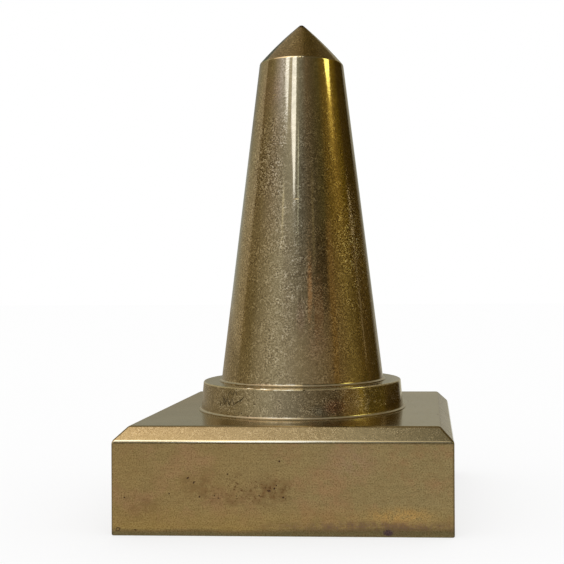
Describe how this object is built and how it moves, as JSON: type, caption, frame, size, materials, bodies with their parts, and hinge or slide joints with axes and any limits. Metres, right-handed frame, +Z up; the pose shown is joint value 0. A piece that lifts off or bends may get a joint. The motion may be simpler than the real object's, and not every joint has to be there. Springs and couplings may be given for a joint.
{
  "type": "brass desk obelisk",
  "caption": "Desk obelisk: a tapering round shaft with a conical point on a low collar and a chamfered square block.",
  "frame": {"origin": "centre of the underside of the square block", "axes": "+Z up along the shaft's axis, towards the point; X and Y square to the sides of the block"},
  "size_m": [0.1016, 0.1016, 0.1636],
  "materials": {
    "brass": "tarnished brass, turned and ground, left unlacquered",
    "screw_steel": "blackened steel"
  },
  "bodies": {
    "root": {"base_block": "brass", "collar": "brass", "shaft": "brass", "fixing_screw": "screw_steel"}
  },
  "joints": []
}
